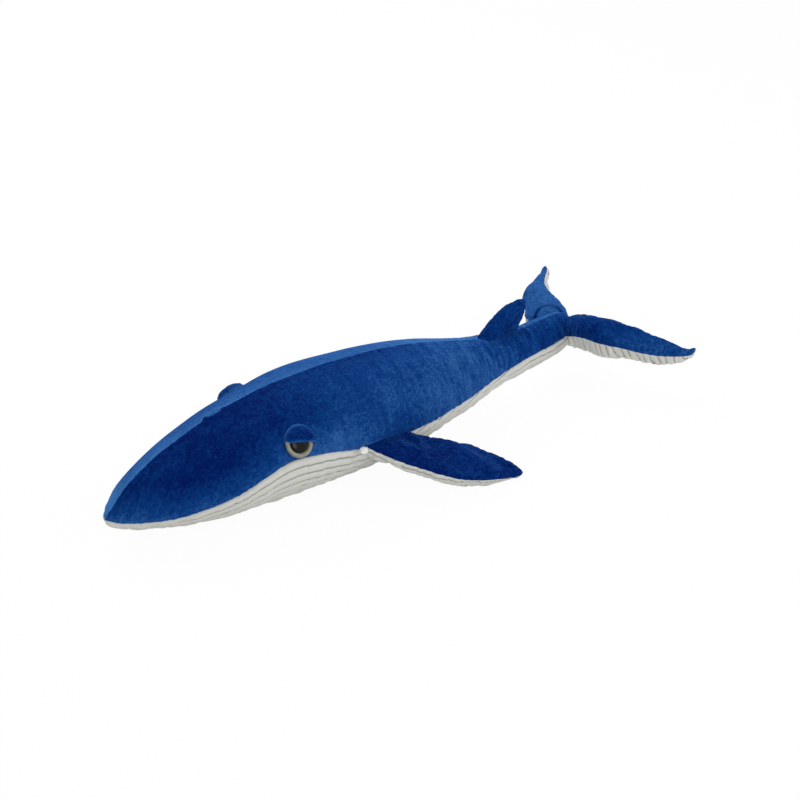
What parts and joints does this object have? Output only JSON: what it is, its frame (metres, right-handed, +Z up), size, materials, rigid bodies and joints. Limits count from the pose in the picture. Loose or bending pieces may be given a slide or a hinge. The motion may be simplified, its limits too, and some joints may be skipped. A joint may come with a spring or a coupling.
{
  "type": "plush whale",
  "caption": "Long stuffed plush whale with a blue back, a white ribbed belly, flippers, a dorsal fin, flukes and domed plastic eyes under padded eyelids; the limbs and tail flex at their seams.",
  "frame": {"origin": "on the floor, under the middle of the overall length", "axes": "+Z up, -X to the nose, +X to the tail, -Y to the whale's left side"},
  "size_m": [1, 0.456, 0.1705],
  "materials": {
    "blue_plush": "short brushed pile",
    "white_ribbed_plush": "wide ribbed pile",
    "fibre_stuffing": "matt",
    "eye_cup_plastic": "satin",
    "pupil_plastic": "glossy",
    "washer_plastic": "matt"
  },
  "bodies": {
    "body": {"back_panel_left": "blue_plush", "back_panel_right": "blue_plush", "belly_panel": "white_ribbed_plush", "body_stuffing": "fibre_stuffing", "eye_cup_left": "eye_cup_plastic", "eye_cup_right": "eye_cup_plastic", "pupil_left": "pupil_plastic", "pupil_right": "pupil_plastic", "eye_washer_left": "washer_plastic", "eye_washer_right": "washer_plastic", "eyelid_left": "blue_plush", "eyelid_right": "blue_plush"},
    "tail": {"tail_back_left": "blue_plush", "tail_back_right": "blue_plush", "tail_belly": "white_ribbed_plush", "tail_stuffing": "fibre_stuffing"},
    "flipper_left": {"flipper_left_top": "blue_plush", "flipper_left_underside": "white_ribbed_plush", "flipper_left_stuffing": "fibre_stuffing"},
    "flipper_right": {"flipper_right_top": "blue_plush", "flipper_right_underside": "white_ribbed_plush", "flipper_right_stuffing": "fibre_stuffing"},
    "fluke_left": {"fluke_left_top": "blue_plush", "fluke_left_underside": "white_ribbed_plush", "fluke_left_stuffing": "fibre_stuffing"},
    "fluke_right": {"fluke_right_top": "blue_plush", "fluke_right_underside": "white_ribbed_plush", "fluke_right_stuffing": "fibre_stuffing"},
    "dorsal_fin": {"dorsal_fin_panel_left": "blue_plush", "dorsal_fin_panel_right": "blue_plush", "dorsal_fin_stuffing": "fibre_stuffing"}
  },
  "joints": [
    {"name": "tail_bend", "type": "hinge", "parent": "body", "child": "tail", "pos_m": [0.29923, 0, 0.06596], "axis": [0, -1, 0], "range_deg": [-18, 18], "stiffness_Nm_per_rad": 8},
    {"name": "flipper_left_flap", "type": "hinge", "parent": "body", "child": "flipper_left", "pos_m": [-0.0572, -0.11938, 0.0609], "axis": [-0.985, -0.1254, 0.1189], "range_deg": [-12, 40], "stiffness_Nm_per_rad": 1.5},
    {"name": "flipper_right_flap", "type": "hinge", "parent": "body", "child": "flipper_right", "pos_m": [-0.0572, 0.11938, 0.0609], "axis": [0.985, -0.1254, -0.1189], "range_deg": [-12, 40], "stiffness_Nm_per_rad": 1.5},
    {"name": "dorsal_fin_flop", "type": "hinge", "parent": "body", "child": "dorsal_fin", "pos_m": [0.22763, 0, 0.12085], "axis": [0.9853, 0, -0.171], "range_deg": [-25, 25], "stiffness_Nm_per_rad": 0.25},
    {"name": "fluke_left_fold", "type": "hinge", "parent": "tail", "child": "fluke_left", "pos_m": [0.37418, -0.03656, 0.08152], "axis": [-0.9293, -0.3686, 0.0227], "range_deg": [-12, 25], "stiffness_Nm_per_rad": 2},
    {"name": "fluke_right_fold", "type": "hinge", "parent": "tail", "child": "fluke_right", "pos_m": [0.37418, 0.03656, 0.08152], "axis": [0.9293, -0.3686, -0.0227], "range_deg": [-12, 25], "stiffness_Nm_per_rad": 2}
  ]
}
